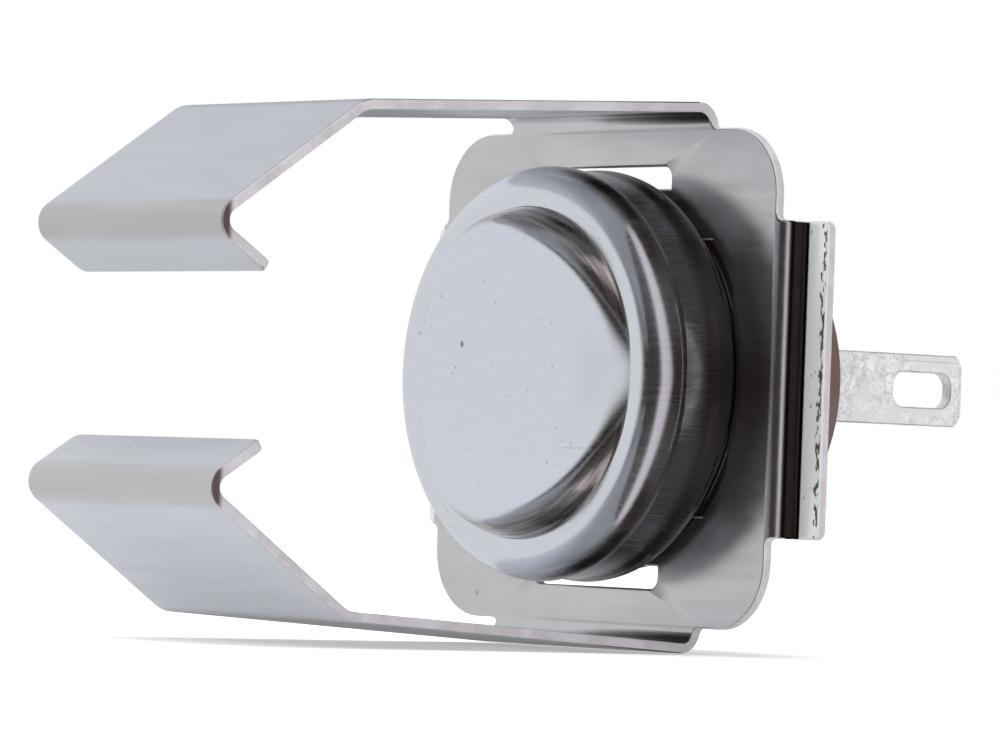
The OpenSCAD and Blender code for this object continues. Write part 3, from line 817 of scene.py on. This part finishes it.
# %% sizes of the cap
CAP_SHEET = 0.3 * MM
PLATE_Y = 4.3 * MM
PAD_R = 6.4 * MM
PAD_RISE = 0.25 * MM
PAD_EDGE = 1.1 * MM
PAD_STEPS = 16
PAD_CREASE = 0.02 * MM
SHOULDER = 1.15 * MM
WALL_IN = 0.13 * MM
CREASE_RUN = 0.4 * MM
BAND_H = 1.4 * MM
BAND_RUN = 0.8 * MM
BAND_OUT = 0.1 * MM
BAND_LEAN = 12
BAND_BEND = 0.5 * MM
RIM_BEND = 0.2 * MM
SEAT = 0.02 * MM
GROOVE_R = CAP_R - 0.78 * MM
BEAD_OUT = 0.23 * MM
BEAD_RUN = 0.4 * MM
BEAD_LEN = 0.43 * MM
SKIRT_IN = 0.27 * MM
SKIRT_RUN = 0.85 * MM
SKIRT_BACK = 3.4 * MM
CRIMP_BEND = 0.25 * MM
CRIMP_LIP = 0.34 * MM
print("cap sheet:", round(CAP_SHEET / MM, 2), "mm, band at", round((CAP_R + BAND_OUT) / MM, 2))

# %% bends and straights
DEGREES_EACH = 4.0


def shift(out, run):
    """Two equal and opposite bends that step a sheet sideways."""
    turn = 2 * math.degrees(math.atan(out / run))
    radius = run / (2 * math.sin(math.radians(abs(turn))))
    return [(radius, turn), (radius, -turn)]


def middle_line(steps):
    """Points and headings of a sheet's middle line, by (length, 0) and (radius, turn) steps."""
    x, y, heading = 0.0, 0.0, 0.0
    line = [(x, y, heading)]
    for length, turn in steps:
        count = max(1, math.ceil(abs(turn) / DEGREES_EACH))
        part = turn / count
        chord = length if turn == 0 else 2 * length * math.sin(math.radians(abs(part)) / 2)
        for _ in range(count):
            way = math.radians(heading - part / 2)
            x += chord * math.cos(way)
            y += chord * math.sin(way)
            heading -= part
            line.append((x, y, heading))
    return line


def side_of(line, offset):
    """The line moved sideways: to the left where the offset is positive."""
    return [(x - offset * math.sin(math.radians(a)), y + offset * math.cos(math.radians(a)))
            for x, y, a in line]


print("a bend of 90 degrees has", math.ceil(90 / DEGREES_EACH), "steps")


# %% the whole section
def cap_section():
    """Radius and distance from the sensing face, round the whole section of the sheet."""
    half = CAP_SHEET / 2
    lean = math.radians(BAND_LEAN)
    side = PLATE_Y - PAD_RISE - SHOULDER - CREASE_RUN - BAND_H
    bends = BAND_BEND * math.sin(lean) + RIM_BEND * (1 - math.sin(lean))
    band = (BAND_H - BAND_RUN - bends - SEAT - half) / math.cos(lean)
    band_r = CAP_R - WALL_IN + BAND_OUT
    rim_r = band_r - BAND_BEND * (1 - math.cos(lean)) - band * math.sin(lean)
    rim_in = rim_r - RIM_BEND * math.cos(lean) - GROOVE_R - RIM_BEND
    groove = CLIP_SHEET + 2 * SEAT + half - RIM_BEND
    skirt = SKIRT_BACK - CLIP_SHEET - SEAT - BEAD_RUN - BEAD_LEN - SKIRT_RUN
    middle = [((PAD_R - PAD_EDGE) / PAD_STEPS, 0)] * PAD_STEPS
    edge = [(PAD_EDGE / PAD_STEPS, 0)] * PAD_STEPS
    steps = [*middle, *edge, (PAD_CREASE, 0), (CAP_R - SHOULDER - PAD_R - PAD_CREASE, 0),
             (SHOULDER - half, 90), *shift(WALL_IN, CREASE_RUN), (side, 0),
             *shift(-BAND_OUT, BAND_RUN), (BAND_BEND, BAND_LEAN), (band, 0),
             (RIM_BEND, 90 - BAND_LEAN), (rim_in, 0), (RIM_BEND, -90), (groove, 0),
             *shift(-BEAD_OUT, BEAD_RUN), (BEAD_LEN, 0), *shift(SKIRT_IN, SKIRT_RUN), (skirt, 0),
             (CRIMP_BEND, 90), (CRIMP_LIP, 0)]
    line = middle_line(steps)
    outer, inner = side_of(line, half), side_of(line, -half)
    return [(radius, PAD_RISE + half - drop) for radius, drop in outer + inner[::-1]]


CAP_SECTION = cap_section()
print("section:", len(CAP_SECTION), "points")

# %% [markdown]
# ## The pad's height
# A pipe is round, so the pad that touches it is hollowed by a saddle along X: its upper and lower
# edges stand out most. The edge of the pad is rounded off, and at its left and right ends the
# saddle's low line sinks towards the ring. A cutter could carve that, but it would leave long thin
# faces that shade badly. So the height is worked out for each point and added after turning.

# %% the pad's height
SADDLE_R = 11.5 * MM
LOW_RISE = 0.08 * MM
LOW_FROM, LOW_TO = 3.0 * MM, 5.9 * MM
LOW_WIDTH = 2.5 * MM


def pad_height(x, z):
    """How far the pad stands over the ring."""
    radius = math.hypot(x, z)
    if radius >= PAD_R:
        return 0.0
    part = min(1.0, max(0.0, (radius - LOW_FROM) / (LOW_TO - LOW_FROM)))
    fade = part * part * (3 - 2 * part) * math.exp(-((z / LOW_WIDTH) ** 2))
    rise = PAD_RISE - (PAD_RISE - LOW_RISE) * fade
    saddle = SADDLE_R - math.sqrt(SADDLE_R ** 2 - z * z)
    edge = min(1.0, (PAD_R - radius) / PAD_EDGE)
    return (rise + saddle) * (1 - (1 - edge) ** 2)


print("pad at its middle:", round(pad_height(0, 0) / MM, 2), "mm")

# %% [markdown]
# ## Turn the cap
# A lathe shape is a section spun about its axis. The Screw modifier could do it too, but the spin
# carries a number along with each point of the section: its way along the sheet, which becomes
# the second number of the UV map. The first one is the way round. The points on the axis come out
# many times over, so they are merged.

# %% spin the section
TURNS = 180
POLE_MERGE = 0.0001 * MM


def spin_section(shape, run):
    """Spins the section about the Y axis. The layer run keeps the way along the sheet."""
    points = [shape.verts.new((0, depth, radius)) for radius, depth in CAP_SECTION]
    for near, far in zip(points, points[1:]):
        shape.edges.new((near, far))
        far[run] = near[run] + (far.co - near.co).length
    bmesh.ops.spin(shape, geom=shape.verts[:] + shape.edges[:], cent=(0, 0, 0), axis=(0, 1, 0),
                   angle=math.tau, steps=TURNS, use_merge=True)
    bmesh.ops.remove_doubles(shape, verts=shape.verts, dist=POLE_MERGE)
    bmesh.ops.recalc_face_normals(shape, faces=shape.faces)


print("spun in", TURNS, "steps")


# %% map the sheet
def map_round(shape, run):
    """A UV map in metres: the way round the cap, and the way along the sheet."""
    uv = shape.loops.layers.uv.new("UVMap")
    for face in shape.faces:
        middle = face.calc_center_median()
        turn = math.atan2(middle.x, middle.z) % math.tau
        for loop in face.loops:
            x, z = loop.vert.co.x, loop.vert.co.z
            off_axis = math.hypot(x, z) > POLE_MERGE
            off = math.remainder(math.atan2(x, z) - turn, math.tau) if off_axis else 0.0
            loop[uv].uv = ((turn + off) * CAP_R, loop.vert[run])


print("the map is", round(math.tau * CAP_R / MM, 1), "mm wide")


# %% the finished cap
def turned_cap():
    shape = bmesh.new()
    run = shape.verts.layers.float.new("run")
    spin_section(shape, run)
    map_round(shape, run)
    for point in shape.verts:
        if point.co.y < PAD_RISE + 2 * CAP_SHEET:
            point.co.y -= pad_height(point.co.x, point.co.z)
    shape.verts.layers.float.remove(run)
    data = bpy.data.meshes.new("turned_cap")
    shape.to_mesh(data)
    shape.free()
    data.materials.append(CAP)
    data.shade_smooth()
    return new_piece("turned_cap", data, "sensing_cap")


cap_mesh = turned_cap().data
depths = [point.co.y / MM for point in cap_mesh.vertices]
print("cap:", len(cap_mesh.polygons), "faces, from", round(min(depths), 3), "to",
      round(max(depths), 3), "mm")

# %% [markdown]
# ## The small and hidden pieces
# The rivets and everything inside the cap stay as the CAD nodes are, because their shapes are
# plain and hardly seen. They only get materials, so that an opened or cut view looks right too.

# %% small pieces
PAIRS = {"rivet": RIVET, "contact_strap": STRAP, "lead_wire": LEAD, "wire_sleeve": SLEEVE}
dressed = {"thermistor_chip": CHIP, "resin_coat": RESIN, "insulating_film": FILM,
           "thermal_paste": PASTE}
for node, material in PAIRS.items():
    for side in ("left", "right"):
        dressed[side + "_" + node] = material
for node, material in dressed.items():
    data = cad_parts[node].data
    data.materials.clear()
    data.materials.append(material)
print("small and hidden pieces:", len(dressed))

# %% [markdown]
# ## The floor
# The part lies over a plain pale floor, which catches its shadow. A curved backdrop would do too,
# but a flat floor that glows a little is as white as the background and needs no curve.
# Reflections don't show the floor, because the room that the metal mirrors has none.

# %% floor
FLOOR_HALF = 3.0
FLOOR_GAP = 0.05 * MM
FLOOR_DARK, FLOOR_LIGHT = (0.86, 0.86, 0.86), (0.88, 0.88, 0.88)
FLOOR_ROUGHNESS = 0.9
FLOOR_GLOW = 0.35
WHITE = (1, 1, 1)


def add_floor():
    material, tree, shader = new_material("pale_floor")
    tree.links.new(mix_colour(tree, mottle(tree, 3.0), FLOOR_DARK, FLOOR_LIGHT),
                   shader["Base Color"])
    shader["Roughness"].default_value = FLOOR_ROUGHNESS
    shader["Emission Color"].default_value = with_alpha(WHITE)
    shader["Emission Strength"].default_value = FLOOR_GLOW
    shape = bmesh.new()
    height = Matrix.Translation((0, 0, clip_low.z - FLOOR_GAP))
    bmesh.ops.create_grid(shape, x_segments=1, y_segments=1, size=FLOOR_HALF, matrix=height)
    data = bpy.data.meshes.new("floor")
    shape.to_mesh(data)
    shape.free()
    data.materials.append(material)
    floor = bpy.data.objects.new("floor", data)
    bpy.context.scene.collection.objects.link(floor)
    floor.visible_glossy = False
    return floor


pale_floor = add_floor()
print("floor:", len(pale_floor.data.vertices), "corners")

# %% [markdown]
# ## What the metal mirrors
# Bright metal looks like the room it stands in, so the room matters as much as the material. It
# could be built from cards and lamps, but the world shader gives the same mirror images with
# softer rims. This room is dark, a little lighter at half height, with a soft round field of light
# on the left and a narrow strip on the right that leans with height. That makes the bands on the
# cap and the dark mirror image beside it. The strip is left out of second mirrorings, which would
# repeat it all over the clip. The eye itself sees a white background, and dull surfaces are lit
# evenly.

# %% directions in the room
BRIGHT_TURN = math.radians(-78)
BRIGHT_RADIUS = (62, 36)
STRIP_TURN = (40, 60, 82, 100)
STRIP_LEAN = 0.5
STRIP_TOP = (66, 82)


def bright_field(tree, way):
    """The round field of light: one within the smaller angle of its centre."""
    centre = (math.sin(BRIGHT_TURN), -math.cos(BRIGHT_TURN), 0)
    dot = {"operation": "DOT_PRODUCT"}
    facing = add_node(tree, "ShaderNodeVectorMath", dot, {0: way, 1: centre}).outputs["Value"]
    apart = math_node(tree, "DEGREES", math_node(tree, "ARCCOSINE", facing))
    return smooth_step(tree, apart, *BRIGHT_RADIUS)


def leaning_strip(tree, turn, rise):
    """The narrow light: a window of turns that moves with height and fades towards the top."""
    leaning = total(tree, turn, product(tree, rise, STRIP_LEAN))
    fading = smooth_step(tree, rise, *STRIP_TOP, 1.0, 0.0)
    return product(tree, window(tree, leaning, *STRIP_TURN), fading)


def turn_and_rise(tree, way):
    """Degrees to the right of -Y, and degrees above or below level."""
    x, y, z = add_node(tree, "ShaderNodeSeparateXYZ", None, {0: way}).outputs
    turn = math_node(tree, "ARCTAN2", x, product(tree, y, -1.0))
    rise = size_of(tree, math_node(tree, "ARCSINE", z))
    return math_node(tree, "DEGREES", turn), math_node(tree, "DEGREES", rise)


print("the bright field's centre is turned", round(math.degrees(BRIGHT_TURN)), "degrees")

# %% surroundings
FIELD_LEVEL, FIELD_RAISED = (0.70, 0.70, 0.715), (0.70, 0.715, 0.76)
FIELD_RISE = (8, 35)
ROOM_DARK, ROOM_LIGHTER = (0.048, 0.040, 0.038), (0.105, 0.098, 0.094)
ROOM_RISE = (5, 30, 45, 62)
STRIP_COLOUR = (0.64, 0.59, 0.63)
EVEN_LIGHT = (0.95, 0.95, 0.97)
SECOND_MIRROR = 1.5


def add_surroundings():
    world = bpy.data.worlds.new("studio")
    bpy.context.scene.world = world
    world.use_nodes = True
    tree = world.node_tree
    way = add_node(tree, "ShaderNodeTexCoord").outputs["Generated"]
    turn, rise = turn_and_rise(tree, way)
    rays = add_node(tree, "ShaderNodeLightPath").outputs
    bright = mix_colour(tree, smooth_step(tree, rise, *FIELD_RISE), FIELD_LEVEL, FIELD_RAISED)
    dark = mix_colour(tree, window(tree, rise, *ROOM_RISE), ROOM_DARK, ROOM_LIGHTER)
    room = mix_colour(tree, bright_field(tree, way), dark, bright)
    mirrored_again = math_node(tree, "GREATER_THAN", rays["Glossy Depth"], SECOND_MIRROR)
    strip = product(tree, leaning_strip(tree, turn, rise), difference(tree, 1.0, mirrored_again))
    lit = mix_colour(tree, strip, room, STRIP_COLOUR)
    even = mix_colour(tree, rays["Is Diffuse Ray"], lit, EVEN_LIGHT)
    seen_through = stronger(tree, rays["Is Camera Ray"], rays["Is Transmission Ray"])
    background = tree.nodes["Background"].inputs["Color"]
    tree.links.new(mix_colour(tree, seen_through, even, WHITE), background)
    return tree


room_tree = add_surroundings()
print("surroundings:", len(room_tree.nodes), "nodes")

# %% [markdown]
# ## The overhead light
# A broad lamp above gives the part its soft shadow on the floor; a small one would give it a hard
# rim. The metal doesn't mirror it, because the surroundings already hold every light that shows
# in the metal.

# %% overhead light
LAMP_SIZE = 0.5
LAMP_POWER = 3.0
LAMP_PLACE = Vector((-0.1, -0.1, 0.6))


def add_overhead():
    data = bpy.data.lights.new("overhead", "AREA")
    data.size = LAMP_SIZE
    data.energy = LAMP_POWER
    light = bpy.data.objects.new("overhead", data)
    light.location = LAMP_PLACE
    light.rotation_euler = (-LAMP_PLACE).to_track_quat("-Z", "Y").to_euler()
    light.visible_glossy = False
    bpy.context.scene.collection.objects.link(light)


add_overhead()
bpy.context.scene.view_settings.view_transform = "Standard"
print("lamp at", round(LAMP_PLACE.length, 2), "m")

# %% [markdown]
